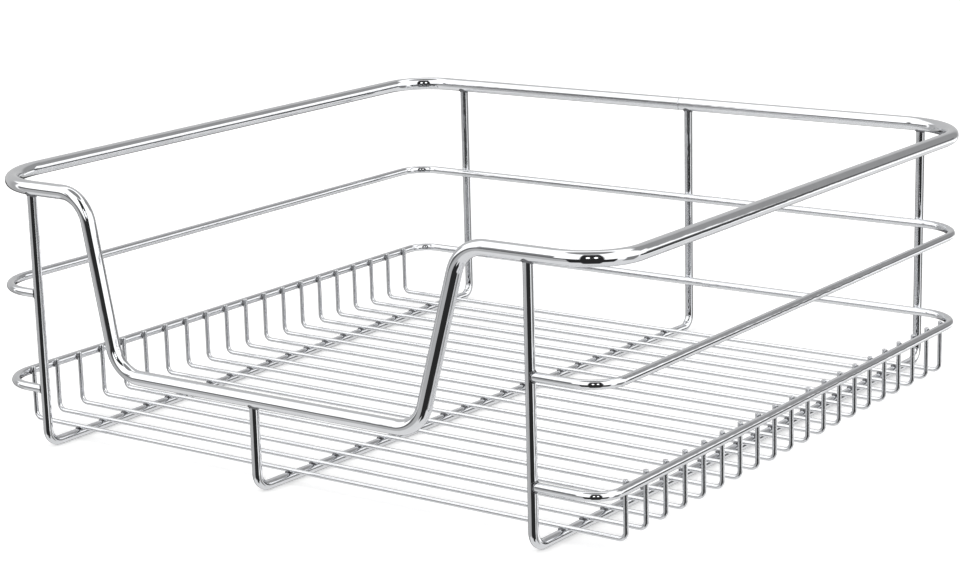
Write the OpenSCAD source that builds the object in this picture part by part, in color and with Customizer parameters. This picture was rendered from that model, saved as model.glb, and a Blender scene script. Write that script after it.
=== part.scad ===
// A pull-out cabinet basket of welded steel wire. Millimetres. X is to the right, Y to the
// back and Z up; the basket stands on z = 0 with the middle of its outline over the origin.
// Every wire is a chain of straight lengths and round bends, given by its corner points.

/* [Top rail] */
// Width of the basket, between the middles of the top rail's two sides
basket_width = 515; // [480:5:565]
// Depth of the basket, between the middles of the top rail's front and back
basket_depth = 500; // [440:5:540]
// Height of the middle of the top rail above the surface that the basket stands on
top_rail_height = 184; // [165:1:225]
// Thickness of the top rail
top_rail_d = 10; // [8:0.5:12]
// Radius that the middle of the top rail bends through at the front right and back left corners
tight_corner_bend_r = 35; // [25:1:44]
// Radius that the middle of the top rail bends through at the front left and back right corners
wide_corner_bend_r = 55; // [45:1:65]

/* [Front dip] */
// Height of the middle of the top rail where it dips at the front
dip_height = 63; // [57:0.5:68]
// Length of the top rail's front that is left of the dip, up to the corner where it turns down
left_shoulder = 100; // [90:1:115]
// Length of the top rail's front that is right of the dip
right_shoulder = 104; // [90:1:120]
// How far the left side of the dip leans inwards on its way down
left_dip_lean = 23; // [10:1:32]
// How far the right side of the dip leans inwards on its way down
right_dip_lean = 35; // [20:1:42]
// Radius that the middle of the top rail bends through at the dip's four bends
dip_bend_r = 23; // [15:1:28]

/* [Middle and low rails] */
// Thickness of the middle and low rails
side_rail_d = 6; // [5:0.5:7]
// Height of the middle of the middle rail
mid_rail_height = 110; // [92:1:125]
// Height of the middle of the low rail
low_rail_height = 42; // [37:0.5:45]
// How much further in than the top rail's sides the middle rail's sides lie
mid_rail_inset = 3; // [0:0.5:8]
// How much further in than the top rail's sides the low rail's sides lie
low_rail_inset = 5; // [0:0.5:8]
// Radius of the middle rail's bends at the front right and back left corners
mid_rail_tight_bend_r = 22; // [16:1:30]
// Radius of the middle rail's bends at the front left and back right corners
mid_rail_wide_bend_r = 36; // [28:1:42]
// Radius of the low rail's bends at the front right and back left corners
low_rail_tight_bend_r = 18; // [14:1:26]
// Radius of the low rail's bends at the front left and back right corners
low_rail_wide_bend_r = 30; // [22:1:36]

/* [Frame wires] */
// Thickness of the three frame wires
frame_wire_d = 6.5; // [5:0.5:7.5]
// Radius that the middle of a frame wire bends through at each end of the floor
frame_bend_r = 10; // [8:0.5:12]
// How far in from the top rail's left side the left frame wire stands
left_wire_inset = 51.5; // [46:0.5:60]
// How far right of the basket's middle the front of the centre frame wire stands
centre_wire_front = -15; // [-20:1:20]
// How far right of the basket's middle the back of the centre frame wire stands
centre_wire_back = 13; // [-20:1:20]
// How far in from the top rail's right side the front of the right frame wire stands
right_wire_front_inset = 55.5; // [46:0.5:60]
// How far in from the top rail's right side the back of the right frame wire stands
right_wire_back_inset = 44.5; // [42:0.5:60]

/* [Floor wires] */
// Number of floor wires
floor_wire_count = 20; // [16:1:24]
// Thickness of the floor wires
floor_wire_d = 3.2; // [2.5:0.1:4]
// Distance that the first and last floor wires keep from the low rail's wide bends
floor_end_margin = 0; // [0:0.5:8]
// Radius that the middle of a floor wire bends through at its turned-up ends
floor_bend_r = 5; // [4:0.5:8]
// How far the ends of a floor wire reach past the top of the low rail
floor_tip_rise = 0.5; // [0:0.1:2]

/* [Welds] */
// Depth that two crossing wires melt into each other
cross_weld_set = 0.3; // [0.2:0.05:0.5]
// Depth that the cut end of a wire melts into the wire that it meets
butt_weld_set = 0.8; // [0.5:0.1:1.2]

/* [Hidden] */
$fn = 48;
chrome = [0.80, 0.81, 0.83];
bright_chrome = [0.87, 0.88, 0.90];

// A bend is a hair thicker than the straight wire, and each straight length runs a little
// way into it, so that the two join cleanly at any angle.
bend_swell = 0.05;
bend_overlap = 0.2;

// planes and lines that several wires share
side_x = basket_width / 2;
front_y = -basket_depth / 2;
back_y = basket_depth / 2;
left_wire_x = -side_x + left_wire_inset;
right_wire_front_x = side_x - right_wire_front_inset;
right_wire_back_x = side_x - right_wire_back_inset;
frame_run_z = frame_wire_d / 2;
mid_side_x = side_x - mid_rail_inset;
low_side_x = side_x - low_rail_inset;
// the middle and low rails are welded to the inner side of the back uprights
inner_back_y = back_y - frame_wire_d / 2 - side_rail_d / 2 + cross_weld_set;
// their cut ends meet the outer sides of the left and right front uprights
rail_left_end_x = left_wire_x - frame_wire_d / 2 + butt_weld_set;
rail_right_end_x = right_wire_front_x + frame_wire_d / 2 - butt_weld_set;
// the uprights end in the underside of the top rail
upright_top_z = top_rail_height - top_rail_d / 2 + butt_weld_set;
dip_upright_top_z = dip_height - top_rail_d / 2 + butt_weld_set;
// the floor wires lie on the frame wires and turn up along the inside of the low rail
floor_z = frame_wire_d - cross_weld_set + floor_wire_d / 2;
floor_end_x = low_side_x - side_rail_d / 2 + cross_weld_set - floor_wire_d / 2;
floor_tip_z = low_rail_height + side_rail_d / 2 + floor_tip_rise;
floor_first_y = front_y + low_rail_wide_bend_r + floor_end_margin;
floor_last_y = inner_back_y - low_rail_wide_bend_r - floor_end_margin;
floor_pitch = (floor_last_y - floor_first_y) / (floor_wire_count - 1);

function floor_wire_name(number) = str("floor_wire_", number < 10 ? "0" : "", number);
function floor_wire_y(number) = floor_first_y + (number - 1) * floor_pitch;

FLOOR_NODES = [for (number = [1:floor_wire_count]) floor_wire_name(number)];

function unit(v) = v / norm(v);

// the angle between the two legs that meet at a corner, seen from the corner
function corner_angle(before, corner, after) =
    acos(unit(before - corner) * unit(after - corner));

// the length of each leg that the round bend at a corner takes up
function bend_reach(before, corner, after, bend_r) =
    bend_r / tan(corner_angle(before, corner, after) / 2);

// a straight length of wire between two points
module straight_length(start, end, d) {
    way = end - start;
    translate(start)
        rotate([0, acos(way.z / norm(way)), atan2(way.y, way.x)])
            cylinder(d = d, h = norm(way));
}

// the round bend of a wire at a corner: part of a ring that both legs run into
module round_bend(before, corner, after, bend_r, d) {
    leg_in = unit(before - corner);
    leg_out = unit(after - corner);
    angle = corner_angle(before, corner, after);
    ring_centre = corner + unit(leg_in + leg_out) * bend_r / sin(angle / 2);
    ring_x = unit(corner + leg_in * bend_reach(before, corner, after, bend_r) - ring_centre);
    ring_y = -leg_in;
    ring_z = cross(ring_x, ring_y);
    multmatrix([
        [ring_x.x, ring_y.x, ring_z.x, ring_centre.x],
        [ring_x.y, ring_y.y, ring_z.y, ring_centre.y],
        [ring_x.z, ring_y.z, ring_z.z, ring_centre.z],
        [0, 0, 0, 1]
    ])
        rotate_extrude(angle = 180 - angle) translate([bend_r, 0]) circle(d = d + bend_swell);
}

// a whole wire: its corner points, the bend radius at each one (0 at a free end) and its thickness
module bent_wire(points, bend_radii, d, closed = false) {
    count = len(points);
    // how far short of each corner point the straight lengths stop
    stop_short = [
        for (i = [0:count - 1])
            bend_radii[i] == 0 ? 0 : bend_reach(
                points[(i + count - 1) % count], points[i], points[(i + 1) % count], bend_radii[i]
            ) - bend_overlap
    ];
    for (i = [0:closed ? count - 1 : count - 2]) {
        next = (i + 1) % count;
        way = unit(points[next] - points[i]);
        straight_length(
            points[i] + way * stop_short[i], points[next] - way * stop_short[next], d
        );
    }
    for (i = [0:count - 1])
        if (bend_radii[i] > 0)
            round_bend(
                points[(i + count - 1) % count], points[i], points[(i + 1) % count], bend_radii[i], d
            );
}

// the thick closed rim, level all round but for the dip at the front
module top_rail() {
    dip_left_x = -side_x + left_shoulder;
    dip_right_x = side_x - right_shoulder;
    color(bright_chrome) bent_wire(
        [
            [-side_x, front_y, top_rail_height],
            [dip_left_x, front_y, top_rail_height],
            [dip_left_x + left_dip_lean, front_y, dip_height],
            [dip_right_x - right_dip_lean, front_y, dip_height],
            [dip_right_x, front_y, top_rail_height],
            [side_x, front_y, top_rail_height],
            [side_x, back_y, top_rail_height],
            [-side_x, back_y, top_rail_height]
        ],
        [
            wide_corner_bend_r, dip_bend_r, dip_bend_r, dip_bend_r, dip_bend_r,
            tight_corner_bend_r, wide_corner_bend_r, tight_corner_bend_r
        ],
        top_rail_d,
        closed = true
    );
}

// a rail round both sides and the back, with its ends on the two outer front uprights
module side_rail(half_width, height, tight_bend_r, wide_bend_r) {
    bent_wire(
        [
            [rail_left_end_x, front_y, height],
            [-half_width, front_y, height],
            [-half_width, inner_back_y, height],
            [half_width, inner_back_y, height],
            [half_width, front_y, height],
            [rail_right_end_x, front_y, height]
        ],
        [0, wide_bend_r, tight_bend_r, wide_bend_r, tight_bend_r, 0],
        side_rail_d
    );
}

module mid_rail() {
    color(chrome) side_rail(
        mid_side_x, mid_rail_height, mid_rail_tight_bend_r, mid_rail_wide_bend_r
    );
}

module low_rail() {
    color(chrome) side_rail(
        low_side_x, low_rail_height, low_rail_tight_bend_r, low_rail_wide_bend_r
    );
}

// a wire that is front upright, floor bearer and back upright in one
module frame_wire(front_x, back_x, front_top_z) {
    bent_wire(
        [
            [front_x, front_y, front_top_z],
            [front_x, front_y, frame_run_z],
            [back_x, back_y, frame_run_z],
            [back_x, back_y, upright_top_z]
        ],
        [0, frame_bend_r, frame_bend_r, 0],
        frame_wire_d
    );
}

module left_frame_wire() {
    color(chrome) frame_wire(left_wire_x, left_wire_x, upright_top_z);
}

module centre_frame_wire() {
    color(chrome) frame_wire(centre_wire_front, centre_wire_back, dip_upright_top_z);
}

module right_frame_wire() {
    color(chrome) frame_wire(right_wire_front_x, right_wire_back_x, upright_top_z);
}

// a thin wire across the floor with both ends turned up inside the low rail
module floor_wire(y) {
    color(chrome) bent_wire(
        [
            [-floor_end_x, y, floor_tip_z],
            [-floor_end_x, y, floor_z],
            [floor_end_x, y, floor_z],
            [floor_end_x, y, floor_tip_z]
        ],
        [0, floor_bend_r, floor_bend_r, 0],
        floor_wire_d
    );
}

top_rail();
mid_rail();
low_rail();
left_frame_wire();
centre_frame_wire();
right_frame_wire();
for (number = [1:floor_wire_count])
    floor_wire(floor_wire_y(number));
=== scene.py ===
import math

import bpy
from mathutils import Matrix, Vector, noise


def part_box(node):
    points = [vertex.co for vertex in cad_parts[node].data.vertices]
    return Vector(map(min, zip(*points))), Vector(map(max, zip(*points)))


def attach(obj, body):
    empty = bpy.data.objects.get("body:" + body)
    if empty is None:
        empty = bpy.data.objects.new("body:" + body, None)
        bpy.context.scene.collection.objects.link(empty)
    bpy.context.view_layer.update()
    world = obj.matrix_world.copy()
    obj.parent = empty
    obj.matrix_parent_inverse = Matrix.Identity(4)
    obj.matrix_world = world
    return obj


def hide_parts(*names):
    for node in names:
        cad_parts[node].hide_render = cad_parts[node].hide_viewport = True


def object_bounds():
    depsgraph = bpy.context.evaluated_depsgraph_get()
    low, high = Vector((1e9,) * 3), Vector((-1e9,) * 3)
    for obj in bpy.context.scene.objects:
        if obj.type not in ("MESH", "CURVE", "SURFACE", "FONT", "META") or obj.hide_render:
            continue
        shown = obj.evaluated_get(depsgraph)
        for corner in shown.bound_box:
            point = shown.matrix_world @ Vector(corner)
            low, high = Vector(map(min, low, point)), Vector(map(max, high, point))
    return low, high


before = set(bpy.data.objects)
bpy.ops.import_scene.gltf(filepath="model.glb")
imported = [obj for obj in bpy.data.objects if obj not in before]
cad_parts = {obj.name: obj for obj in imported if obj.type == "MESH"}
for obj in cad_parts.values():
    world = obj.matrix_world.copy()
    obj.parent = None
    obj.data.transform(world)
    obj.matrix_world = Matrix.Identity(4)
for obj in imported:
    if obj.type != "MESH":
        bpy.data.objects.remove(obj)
cad_low, cad_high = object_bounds()


# ---- Top rail ----------------------------------------------------------------------------
# The thick rim: one 10 mm steel bar, bent cold into a closed loop that dips at the front for
# a hand. Its two ends are butt welded at the back and ground flush. The whole basket is
# plated with bright chrome after welding, so the straight runs are mirrors.

rim_low, rim_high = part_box("top_rail")
rim_d = 0.010
rim_tight_r, rim_wide_r = 0.035, 0.055
dip_bend_r = 0.023
left_shoulder, right_shoulder = 0.100, 0.104
left_dip_lean, right_dip_lean = 0.023, 0.035
# the CAD's bends stand a hair out from its straight runs, and so do their boxes
bend_swell = 0.000025
rim_to_middle = rim_d / 2 + bend_swell
side_x = rim_high.x - rim_to_middle
front_y = rim_low.y + rim_to_middle
back_y = rim_high.y - rim_to_middle
rim_z = rim_high.z - rim_to_middle
dip_z = rim_low.z + rim_to_middle


def plated_steel(name, colour, gloss_low, gloss_high, ripple, patch_size):
    """Bright chrome over drawn steel: a mirror with a long soft ripple and duller patches."""
    greyer = 0.93
    ripple_depth = 0.0004
    tint_scale, gloss_scale, ripple_scale = 1.0, 4.0, 1.3
    material = bpy.data.materials.new(name)
    material.use_nodes = True
    nodes, links = material.node_tree.nodes, material.node_tree.links
    shader = nodes["Principled BSDF"]
    shader.inputs["Metallic"].default_value = 1.0

    place = nodes.new("ShaderNodeTexCoord")

    def cloud(scale, detail):
        texture = nodes.new("ShaderNodeTexNoise")
        texture.inputs["Scale"].default_value = scale
        texture.inputs["Detail"].default_value = detail
        links.new(place.outputs["Object"], texture.inputs["Vector"])
        return texture.outputs["Fac"]

    # the plating's thickness drifts, which turns the blue-white of the chrome a shade greyer
    tint = nodes.new("ShaderNodeValToRGB")
    thin, thick = tint.color_ramp.elements
    thin.position, thick.position = 0.3, 0.7
    thin.color = tuple(c * greyer for c in colour) + (1.0,)
    thick.color = colour + (1.0,)
    links.new(cloud(tint_scale / patch_size, 3.0), tint.inputs["Fac"])
    links.new(tint.outputs["Color"], shader.inputs["Base Color"])

    # handling marks and the heat of the welds leave the gloss a little uneven
    gloss = nodes.new("ShaderNodeMapRange")
    gloss.inputs["From Min"].default_value = 0.35
    gloss.inputs["From Max"].default_value = 0.70
    gloss.inputs["To Min"].default_value = gloss_low
    gloss.inputs["To Max"].default_value = gloss_high
    links.new(cloud(gloss_scale / patch_size, 5.0), gloss.inputs["Value"])
    links.new(gloss.outputs["Result"], shader.inputs["Roughness"])

    # the drawn wire is never quite straight: a long soft ripple under the plating
    wave = nodes.new("ShaderNodeBump")
    wave.inputs["Strength"].default_value = ripple
    wave.inputs["Distance"].default_value = ripple_depth
    links.new(cloud(ripple_scale / patch_size, 1.0), wave.inputs["Height"])
    links.new(wave.outputs["Normal"], shader.inputs["Normal"])
    return material


def bent_line(corners, bend_radii, degrees_a_step=3.0):
    """The middle line of a bent wire, as points. A bend radius of 0 marks a free end. Each
    bend and each free end has a second point close by on the straight, so that the shading
    of the straight run stays even."""
    hold = 0.0008
    fewest_steps = 6
    corners = [Vector(c) for c in corners]
    line = []
    for i, corner in enumerate(corners):
        after = corners[(i + 1) % len(corners)]
        if bend_radii[i] == 0:
            inward = (after if i == 0 else corners[i - 1]) - corner
            ends = [corner, corner + inward.normalized() * hold]
            line += ends if i == 0 else reversed(ends)
            continue
        leg_in = (corners[i - 1] - corner).normalized()
        leg_out = (after - corner).normalized()
        angle = leg_in.angle(leg_out)
        reach = bend_radii[i] / math.tan(angle / 2)
        centre = corner + (leg_in + leg_out).normalized() * bend_radii[i] / math.sin(angle / 2)
        out = (corner + leg_in * reach - centre).normalized()
        turn = math.pi - angle
        steps = max(fewest_steps, round(math.degrees(turn) / degrees_a_step))
        line.append(corner + leg_in * (reach + hold))
        for s in range(steps + 1):
            a = turn * s / steps
            line.append(centre + (out * math.cos(a) - leg_in * math.sin(a)) * bend_radii[i])
        line.append(corner + leg_out * (reach + hold))
    return line


def skin(name, points, faces):
    """A piece from points and faces, in the basket's own frame. All but its flat cut ends
    is shaded smooth."""
    mesh = bpy.data.meshes.new(name)
    mesh.from_pydata([tuple(p) for p in points], [], faces)
    mesh.validate()
    mesh.update()
    for face in mesh.polygons:
        face.use_smooth = len(face.vertices) <= 4
    piece = bpy.data.objects.new(name, mesh)
    bpy.context.scene.collection.objects.link(piece)
    return piece


def drawn_wire(name, line, d, closed=False, sides=32, end_round=0.0):
    """A round wire along a line, as one closed skin. Free ends are cut square, with their
    edge rounded off by end_round."""
    count = len(line)
    ways = []
    for i in range(count):
        before = line[i - 1] if closed or i > 0 else line[i]
        after = line[(i + 1) % count] if closed or i < count - 1 else line[i]
        ways.append((after - before).normalized())

    # the ring's own x direction is carried along the wire without twisting
    across = [ways[0].orthogonal().normalized()]
    for i in range(1, count):
        across.append(ways[i - 1].rotation_difference(ways[i]) @ across[-1])
    if closed:
        last = ways[-1].rotation_difference(ways[0]) @ across[-1]
        twist = math.atan2(last.cross(across[0]).dot(ways[0]), last.dot(across[0]))
        across = [
            Matrix.Rotation(twist * i / count, 3, ways[i]) @ x for i, x in enumerate(across)
        ]

    rings = [(line[i], ways[i], across[i], d / 2) for i in range(count)]
    if end_round > 0:
        # from the flat of the cut round to the wire's side: distance from the cut, and radius
        edge = [
            (end_round * (1 - math.sin(a)), d / 2 - end_round * (1 - math.cos(a)))
            for a in map(math.radians, (90, 60, 30, 0))
        ]
        start, start_way, start_across, _ = rings[0]
        end, end_way, end_across, _ = rings[-1]
        rings = (
            [(start + start_way * h, start_way, start_across, r) for h, r in edge]
            + rings[1:-1]
            + [(end - end_way * h, end_way, end_across, r) for h, r in reversed(edge)]
        )

    points, faces = [], []
    for place, way, x, r in rings:
        y = way.cross(x)
        for s in range(sides):
            a = 2 * math.pi * s / sides
            points.append(place + (x * math.cos(a) + y * math.sin(a)) * r)
    total = len(rings)
    for i in range(total if closed else total - 1):
        low, high = i * sides, (i + 1) % total * sides
        for s in range(sides):
            t = (s + 1) % sides
            faces.append((low + s, low + t, high + t, high + s))
    if not closed:
        faces.append(tuple(reversed(range(sides))))
        faces.append(tuple(range((total - 1) * sides, total * sides)))
    return skin(name, points, faces)


def fit_piece(piece, material, slot, *nodes):
    """The piece gets its finish and rides with the basket, and the nodes it takes the place of
    are hidden.
    """
    piece.data.materials.append(material)
    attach(piece, "root")
    if nodes:
        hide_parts(*nodes)
    return piece


rail_chrome = plated_steel("rail_chrome_plate", (0.80, 0.81, 0.83), 0.035, 0.075, 0.30, 0.020)

dip_left_x = -side_x + left_shoulder
dip_right_x = side_x - right_shoulder
rim_line = bent_line(
    [
        (-side_x, front_y, rim_z),
        (dip_left_x, front_y, rim_z),
        (dip_left_x + left_dip_lean, front_y, dip_z),
        (dip_right_x - right_dip_lean, front_y, dip_z),
        (dip_right_x, front_y, rim_z),
        (side_x, front_y, rim_z),
        (side_x, back_y, rim_z),
        (-side_x, back_y, rim_z),
    ],
    [rim_wide_r] + [dip_bend_r] * 4 + [rim_tight_r, rim_wide_r, rim_tight_r],
)
fit_piece(
    drawn_wire("top_rail_bar", rim_line, rim_d, closed=True, sides=40),
    rail_chrome, "rail_chrome", "top_rail",
)


# ---- Middle and low rails ----------------------------------------------------------------
# Two 6 mm steel wires that run round both sides and the back. Their cut ends are welded to
# the outer sides of the two outer front uprights, and they pass inside the back uprights.

side_rail_d = 0.006
mid_rail_tight_r, mid_rail_wide_r = 0.022, 0.036
low_rail_tight_r, low_rail_wide_r = 0.018, 0.030
frame_wire_d = 0.0065
butt_set = 0.0008
left_wire_low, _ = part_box("left_frame_wire")
right_wire_low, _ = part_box("right_frame_wire")
rail_left_end_x = left_wire_low.x + bend_swell + butt_set
rail_right_end_x = right_wire_low.x + bend_swell + frame_wire_d - butt_set

wire_chrome = plated_steel("wire_chrome_plate", (0.77, 0.78, 0.80), 0.045, 0.090, 0.35, 0.014)


def side_rail(name, node, tight_r, wide_r):
    """Makes one rail, and gives how far out its sides lie, and its height. Its front right
    and back left bends are the tight ones, as on the rim."""
    _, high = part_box(node)
    to_middle = side_rail_d / 2 + bend_swell
    half_width = high.x - to_middle
    inner_back_y = high.y - to_middle
    z = high.z - to_middle
    line = bent_line(
        [
            (rail_left_end_x, front_y, z),
            (-half_width, front_y, z),
            (-half_width, inner_back_y, z),
            (half_width, inner_back_y, z),
            (half_width, front_y, z),
            (rail_right_end_x, front_y, z),
        ],
        [0, wide_r, tight_r, wide_r, tight_r, 0],
    )
    fit_piece(drawn_wire(name, line, side_rail_d), wire_chrome, "rail_chrome", node)
    return half_width, z


mid_side_x, mid_rail_z = side_rail(
    "mid_rail_wire", "mid_rail", mid_rail_tight_r, mid_rail_wide_r
)
low_side_x, low_rail_z = side_rail(
    "low_rail_wire", "low_rail", low_rail_tight_r, low_rail_wide_r
)


# ---- Frame wires -------------------------------------------------------------------------
# Three 6.5 mm steel wires, each bent into a U that is front upright, floor bearer and back
# upright in one, with its ends welded under the rim. The basket stands on them. The centre
# and the right one were welded in a little askew, further right at the back.

frame_bend_r = 0.010
upright_top_z = rim_z - rim_d / 2 + butt_set
dip_upright_top_z = dip_z - rim_d / 2 + butt_set


def frame_wire(name, node, front_top_z):
    """Makes one frame wire, and gives where its front and its back upright stand."""
    low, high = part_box(node)
    to_middle = frame_wire_d / 2 + bend_swell
    front_x = low.x + to_middle
    back_x = high.x - to_middle
    run_z = low.z + to_middle
    line = bent_line(
        [
            (front_x, front_y, front_top_z),
            (front_x, front_y, run_z),
            (back_x, back_y, run_z),
            (back_x, back_y, upright_top_z),
        ],
        [0, frame_bend_r, frame_bend_r, 0],
    )
    fit_piece(drawn_wire(name, line, frame_wire_d), wire_chrome, "wire_chrome", node)
    return front_x, back_x


left_front_x, left_back_x = frame_wire("left_frame_bar", "left_frame_wire", upright_top_z)
centre_front_x, centre_back_x = frame_wire(
    "centre_frame_bar", "centre_frame_wire", dip_upright_top_z
)
right_front_x, right_back_x = frame_wire("right_frame_bar", "right_frame_wire", upright_top_z)


# ---- Floor wires -------------------------------------------------------------------------
# Twenty 3.2 mm steel wires, welded across the three bearers. Both ends turn up inside the
# low rail, are welded to it and are sheared off just above it.

# thin wire is drawn less smooth than thick, and its plating is more satin
floor_chrome = plated_steel("floor_chrome_plate", (0.77, 0.78, 0.80), 0.15, 0.24, 0.35, 0.014)

floor_wire_count = 20
floor_wire_d = 0.0032
floor_bend_r = 0.005
floor_cut_round = 0.0003

floor_ys = []
for number in range(1, floor_wire_count + 1):
    low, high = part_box(f"floor_wire_{number:02d}")
    y = (low.y + high.y) / 2
    end_x = high.x - floor_wire_d / 2 - bend_swell
    floor_z = low.z + floor_wire_d / 2 + bend_swell
    line = bent_line(
        [
            (-end_x, y, high.z),
            (-end_x, y, floor_z),
            (end_x, y, floor_z),
            (end_x, y, high.z),
        ],
        [0, floor_bend_r, floor_bend_r, 0],
        degrees_a_step=6.0,
    )
    fit_piece(
        drawn_wire(f"floor_rod_{number:02d}", line, floor_wire_d, sides=24,
                   end_round=floor_cut_round),
        floor_chrome, "wire_chrome", f"floor_wire_{number:02d}",
    )
    floor_ys.append(y)


# ---- Welds -------------------------------------------------------------------------------
# Where two wires cross they are resistance welded: the steel is squeezed out of the joint
# and stands round it as a small ragged bead. The plating then covers it, a little duller.
# The beads' colour is painted near black, as painted shade where the wires cross.

# the near-black base colour is painted shade for the shade where the wires cross; only the duller
# gloss is the plating's own
weld_painted_shade_chrome = plated_steel("weld_chrome_painted_shade", (0.17, 0.173, 0.18), 0.08, 0.18, 0.50, 0.004)
cross_set = 0.0003
bead_ragged = 0.24


def crossing_bead(place, up, along_low, low_r, along_high, high_r):
    """The lump squeezed out at the touching point of two crossing wires: the low one runs
    along along_low, the high one along along_high, and up points from low to high."""
    past_high_wire = 0.001275
    share_of_low_wire = 0.85
    tall = 0.00136
    grain, grain_along_z, grain_round = 900, 700, 1.3
    round_steps, profile_steps = 24, 12
    place, up = Vector(place), Vector(up)
    x, y = Vector(along_low).normalized(), Vector(along_high).normalized()
    long_x, long_y = high_r + past_high_wire, low_r * share_of_low_wire
    points, faces = [place - up * tall, place + up * tall], []
    for s in range(round_steps):
        a = 2 * math.pi * s / round_steps
        for p in range(1, profile_steps):
            lift = math.pi * (p / profile_steps - 0.5)
            cx, cy = math.cos(a) * math.cos(lift), math.sin(a) * math.cos(lift)
            h = math.sin(lift)
            wild = noise.noise(Vector((
                place.x * grain + cx * grain_round,
                place.y * grain + cy * grain_round,
                place.z * grain_along_z + h,
            )))
            swell = 1 + bead_ragged * wild
            points.append(place + (x * (cx * long_x) + y * (cy * long_y)) * swell + up * h * tall)
    ring = profile_steps - 1
    for s in range(round_steps):
        here, there = 2 + s * ring, 2 + (s + 1) % round_steps * ring
        faces.append((0, there, here))
        faces.append((1, here + ring - 1, there + ring - 1))
        for p in range(ring - 1):
            faces.append((here + p, there + p, there + p + 1, here + p + 1))
    return points, faces


def end_collar(wire_foot, way, wire_r, along, rail_r, rail_middle):
    """The fillet round a cut end that meets the side of a thicker wire: way points from the
    cut end into the rail, which runs along along, and wire_foot is where the end points at."""
    leg = 0.0012
    grain, grain_across = 800, 2
    # how far round the rail the fillet may reach, as shares of its radius
    foot_reach, wire_reach = 0.93, 0.999
    # what the hollow bends towards: how far down the leg, and how far out in wire radii
    hollow_down, hollow_out = 0.75, 1.04
    round_steps, profile_steps = 32, 7
    way, along = Vector(way), Vector(along)
    across = way.cross(along)
    middle = Vector(rail_middle)
    offset = (Vector(wire_foot) - middle).dot(across)
    foot_limit, wire_limit = foot_reach * rail_r, wire_reach * rail_r
    points, faces = [], []
    for s in range(round_steps):
        a = 2 * math.pi * s / round_steps
        cx, cy = math.cos(a), math.sin(a)
        wild = noise.noise(Vector((
            middle.x * grain + cx, middle.y * grain + cy * grain_across, middle.z * grain,
        )))
        tall = leg * (1 + bead_ragged * wild)
        foot_across = max(-foot_limit, min(foot_limit, offset + (wire_r + tall) * cy))
        foot_depth = math.sqrt(rail_r**2 - foot_across**2)
        wire_across = max(-wire_limit, min(wire_limit, offset + wire_r * cy))
        wall_depth = math.sqrt(rail_r**2 - wire_across**2) + tall
        foot = middle - way * foot_depth + along * ((wire_r + tall) * cx) + across * foot_across
        top = middle - way * wall_depth + along * (wire_r * cx) + across * (offset + wire_r * cy)
        bend = middle - way * (wall_depth - leg * hollow_down)
        bend += (along * cx + across * cy) * wire_r * hollow_out + across * offset
        for p in range(profile_steps + 1):
            t = p / profile_steps
            points.append(top * (1 - t) ** 2 + bend * 2 * t * (1 - t) + foot * t**2)
    ring = profile_steps + 1
    for s in range(round_steps):
        n = (s + 1) % round_steps
        for p in range(profile_steps):
            faces.append((s * ring + p, s * ring + p + 1, n * ring + p + 1, n * ring + p))
    # two hidden points inside the wires close the fillet
    wire_side, rail_side = len(points), len(points) + 1
    points += [middle + across * offset - way * (rail_r + leg * 2), middle]
    for s in range(round_steps):
        n = (s + 1) % round_steps
        faces.append((wire_side, s * ring, n * ring))
        faces.append((rail_side, n * ring + profile_steps, s * ring + profile_steps))
    return points, faces


def weld_group(name, beads):
    """Like welds, joined into one piece."""
    points, faces = [], []
    for bead_points, bead_faces in beads:
        faces += [tuple(i + len(points) for i in face) for face in bead_faces]
        points += bead_points
    fit_piece(skin(name, points, faces), weld_painted_shade_chrome, "wire_chrome")


UP, RIGHT, BACK = (0, 0, 1), (1, 0, 0), (0, 1, 0)

# the floor wires on the bearers
bearer_contact_z = left_wire_low.z + bend_swell + frame_wire_d - cross_set / 2
for name, bearer_front_x, bearer_back_x in [
    ("left_bearer_welds", left_front_x, left_back_x),
    ("centre_bearer_welds", centre_front_x, centre_back_x),
    ("right_bearer_welds", right_front_x, right_back_x),
]:
    slant = (bearer_back_x - bearer_front_x) / (back_y - front_y)
    weld_group(name, [
        crossing_bead((bearer_front_x + slant * (y - front_y), y, bearer_contact_z), UP,
                      (slant, 1, 0), frame_wire_d / 2, RIGHT, floor_wire_d / 2)
        for y in floor_ys
    ])

# the floor wires' ends inside the low rail
tip_contact_x = low_side_x - side_rail_d / 2 + cross_set / 2
for name, side in [("left_tip_welds", -1), ("right_tip_welds", 1)]:
    weld_group(name, [
        crossing_bead((side * tip_contact_x, y, low_rail_z), (-side, 0, 0), BACK,
                      side_rail_d / 2, UP, floor_wire_d / 2)
        for y in floor_ys
    ])

# the middle and low rails inside the back uprights
back_contact_y = back_y - frame_wire_d / 2 + cross_set / 2
weld_group("back_rail_welds", [
    crossing_bead((x, back_contact_y, z), BACK, RIGHT, side_rail_d / 2, UP, frame_wire_d / 2)
    for x in (left_back_x, centre_back_x, right_back_x) for z in (mid_rail_z, low_rail_z)
])

# the rails' cut ends on the front uprights
weld_group("rail_end_welds", [
    end_collar((x, front_y, z), (-side, 0, 0), side_rail_d / 2, UP, frame_wire_d / 2,
               (x, front_y, z))
    for side, x in [(-1, left_front_x), (1, right_front_x)] for z in (mid_rail_z, low_rail_z)
])


def rim_line_inset(x, y):
    """How far the rim's middle line has turned in from the front or the back at x."""
    bend_r = rim_wide_r if x * y > 0 else rim_tight_r
    into_bend = max(0.0, abs(x) - (side_x - bend_r))
    return bend_r - math.sqrt(bend_r**2 - into_bend**2)


# the uprights' tops under the rim
weld_group("upright_top_welds", [
    end_collar((x, y, z), UP, frame_wire_d / 2, RIGHT, rim_d / 2,
               (x, y - math.copysign(rim_line_inset(x, y), y), z))
    for x, y, z in [
        (left_front_x, front_y, rim_z), (right_front_x, front_y, rim_z),
        (centre_front_x, front_y, dip_z), (left_back_x, back_y, rim_z),
        (centre_back_x, back_y, rim_z), (right_back_x, back_y, rim_z),
    ]
])

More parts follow.
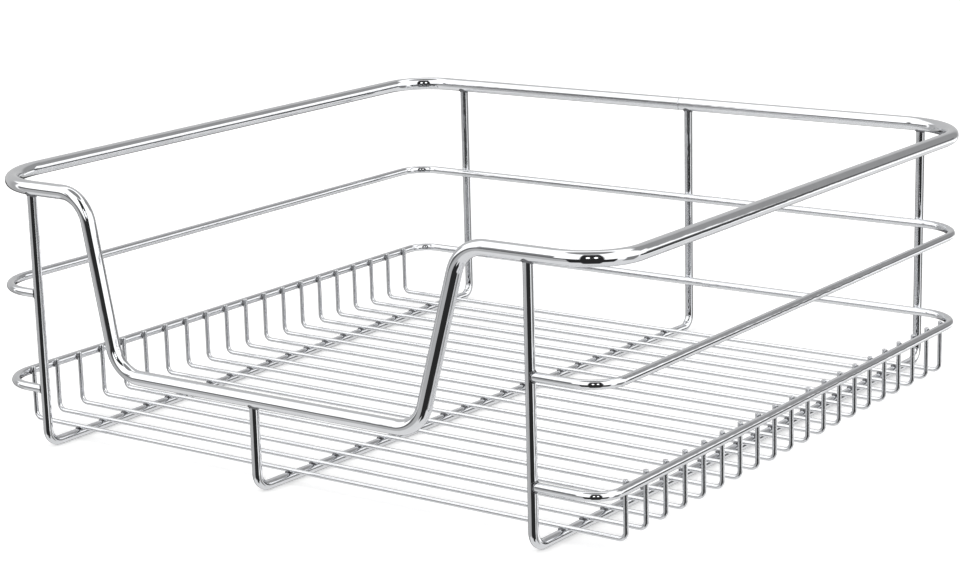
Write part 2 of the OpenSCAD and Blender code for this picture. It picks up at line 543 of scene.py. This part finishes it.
# the rim's own butt weld at the back, ground flush: a hair of it still stands
seam_x = 0.006
seam_half_width = 0.0005
seam_stands = 0.00002
seam_line = [
    Vector((seam_x + side * seam_half_width, back_y, rim_z)) for side in (-1, 1)
]
fit_piece(
    drawn_wire("rim_butt_weld", seam_line, rim_d + 2 * seam_stands, sides=40),
    rail_chrome, "rail_chrome",
)


# ---- Studio ------------------------------------------------------------------------------
# A white table under a light tent. Grey and dark flags hang between the tent's panels, and
# the chrome mirrors both: that is what draws the black, grey and white lines on the wires.

table_half = 6.0
table_gap = 0.00002
floor_level = cad_low.z - table_gap
table_top = skin("table_top", [
    (-table_half, -table_half, floor_level), (table_half, -table_half, floor_level),
    (table_half, table_half, floor_level), (-table_half, table_half, floor_level),
], [(0, 1, 2, 3)])
paper = bpy.data.materials.new("white_paper")
paper.use_nodes = True
paper_look = paper.node_tree.nodes["Principled BSDF"].inputs
paper_look["Base Color"].default_value = (0.9, 0.9, 0.9, 1)
paper_look["Roughness"].default_value = 0.9
# a faint glow stands for the light that comes up through the paper
paper_look["Emission Color"].default_value = (1, 1, 1, 1)
paper_look["Emission Strength"].default_value = 0.30
table_top.data.materials.append(paper)
table_top.visible_glossy = False

world = bpy.data.worlds.new("light_tent")
bpy.context.scene.world = world
world.use_nodes = True
tent, cables = world.node_tree.nodes, world.node_tree.links


def tent_math(operation, *values):
    node = tent.new("ShaderNodeMath")
    node.operation = operation
    for socket, value in zip(node.inputs, values):
        if isinstance(value, (int, float)):
            socket.default_value = value
        else:
            cables.new(value, socket)
    return node.outputs[0]


split = tent.new("ShaderNodeSeparateXYZ")
cables.new(tent.new("ShaderNodeTexCoord").outputs["Generated"], split.inputs[0])
heading = tent_math("ARCTAN2", split.outputs["X"], tent_math("MULTIPLY", split.outputs["Y"], -1))
height = tent_math("ARCSINE", split.outputs["Z"])


def inside(value, middle, half, soft):
    """1 where value is within half of middle, falling to 0 over soft. All are in radians."""
    edge = tent.new("ShaderNodeMapRange")
    edge.interpolation_type = "SMOOTHSTEP"
    cables.new(tent_math("ABSOLUTE", tent_math("SUBTRACT", value, middle)), edge.inputs["Value"])
    edge.inputs["From Min"].default_value = half - soft / 2
    edge.inputs["From Max"].default_value = half + soft / 2
    edge.inputs["To Min"].default_value = 1.0
    edge.inputs["To Max"].default_value = 0.0
    return edge.outputs["Result"]


# name, heading, half width, lowest and highest edge, softness, in degrees; and brightness
flags = [
    ("table", 0, 180, -95, -19, 5, 0.85),
    ("ceiling", 0, 180, 68, 95, 6, 0.30),
    ("left", -97, 22, -40, 22, 6, 0.45),
    ("behind", 192, 58, -9, 50, 8, 0.35),
    ("behind left", 228, 40, -14, 50, 18, 0.60),
    ("behind low", 217, 30, -40, -6, 8, 0.58),
    ("behind dark", 225, 24, -40, -8, 5, 0.05),
    ("back right low", 139, 13, -17, -3, 3, 0.07),
    ("back right strip", 138, 11, -1, 25, 3, 1.4),
    ("back right edge", 152, 12, -3, 2.5, 2, 0.12),
    ("right", 110, 14, -40, -4, 5, 0.25),
    ("left low", -34, 38, -34, -7, 6, 0.52),
    ("front left", -36, 34, -9, 4, 5, 0.14),
    ("shoulder", -33.5, 3.5, 2, 20, 4, 0.25),
    ("front", 36, 44, -42, -6, 3, 0.028),
    ("front left leg", 16, 30, -7, 3, 3, 0.028),
    ("front tall", 36, 21, -60, 64, 5, 0.028),
    ("lamp one", 29, 2.5, 14, 30, 3, 3.5),
    ("lamp two", 43, 2.5, 14, 30, 3, 3.5),
]
tent_brightness = 1.55
brightness = tent_brightness
for _, middle, half, low, high, soft, level in flags:
    # the heading's difference is wrapped, so that a flag may lie across the back
    turned = tent_math("WRAP", tent_math("SUBTRACT", heading, math.radians(middle)),
                       math.pi, -math.pi)
    mask = tent_math(
        "MULTIPLY",
        inside(turned, 0.0, math.radians(half), math.radians(soft)),
        inside(height, math.radians((low + high) / 2), math.radians((high - low) / 2),
               math.radians(soft)),
    )
    mix = tent.new("ShaderNodeMix")
    cables.new(mask, mix.inputs["Factor"])
    if isinstance(brightness, float):
        mix.inputs["A"].default_value = brightness
    else:
        cables.new(brightness, mix.inputs["A"])
    mix.inputs["B"].default_value = level
    brightness = mix.outputs["Result"]

# what the camera sees past the table is plain white
backdrop_brightness = 1.2
sight = tent.new("ShaderNodeLightPath").outputs["Is Camera Ray"]
plain = tent.new("ShaderNodeMix")
cables.new(sight, plain.inputs["Factor"])
cables.new(brightness, plain.inputs["A"])
plain.inputs["B"].default_value = backdrop_brightness
tent["Background"].inputs["Color"].default_value = (1, 1, 1, 1)
cables.new(plain.outputs["Result"], tent["Background"].inputs["Strength"])

bpy.context.scene.view_settings.view_transform = "Standard"

# the camera stands front right of the basket, a little above it
lens_px = 2388
frame_width_px = 960
sensor_width = 36.0
camera_heading, camera_height, camera_roll = map(math.radians, (35.91, 13.48, -1.50))
eye = Vector((0.9718, -1.3610, 0.4912))
back_way = Vector((
    math.sin(camera_heading) * math.cos(camera_height),
    -math.cos(camera_heading) * math.cos(camera_height),
    math.sin(camera_height),
))
level_right = (-back_way).cross(Vector(UP)).normalized()
level_up = level_right.cross(-back_way)
right_way = level_right * math.cos(camera_roll) + level_up * math.sin(camera_roll)
up_way = level_up * math.cos(camera_roll) - level_right * math.sin(camera_roll)
camera_data = bpy.data.cameras.new("studio_camera")
camera_data.sensor_width = sensor_width
camera_data.lens = lens_px / frame_width_px * sensor_width
camera = bpy.data.objects.new("studio_camera", camera_data)
bpy.context.scene.collection.objects.link(camera)
camera.matrix_world = Matrix((
    (right_way.x, up_way.x, back_way.x, eye.x),
    (right_way.y, up_way.y, back_way.y, eye.y),
    (right_way.z, up_way.z, back_way.z, eye.z),
    (0, 0, 0, 1),
))
bpy.context.scene.camera = camera
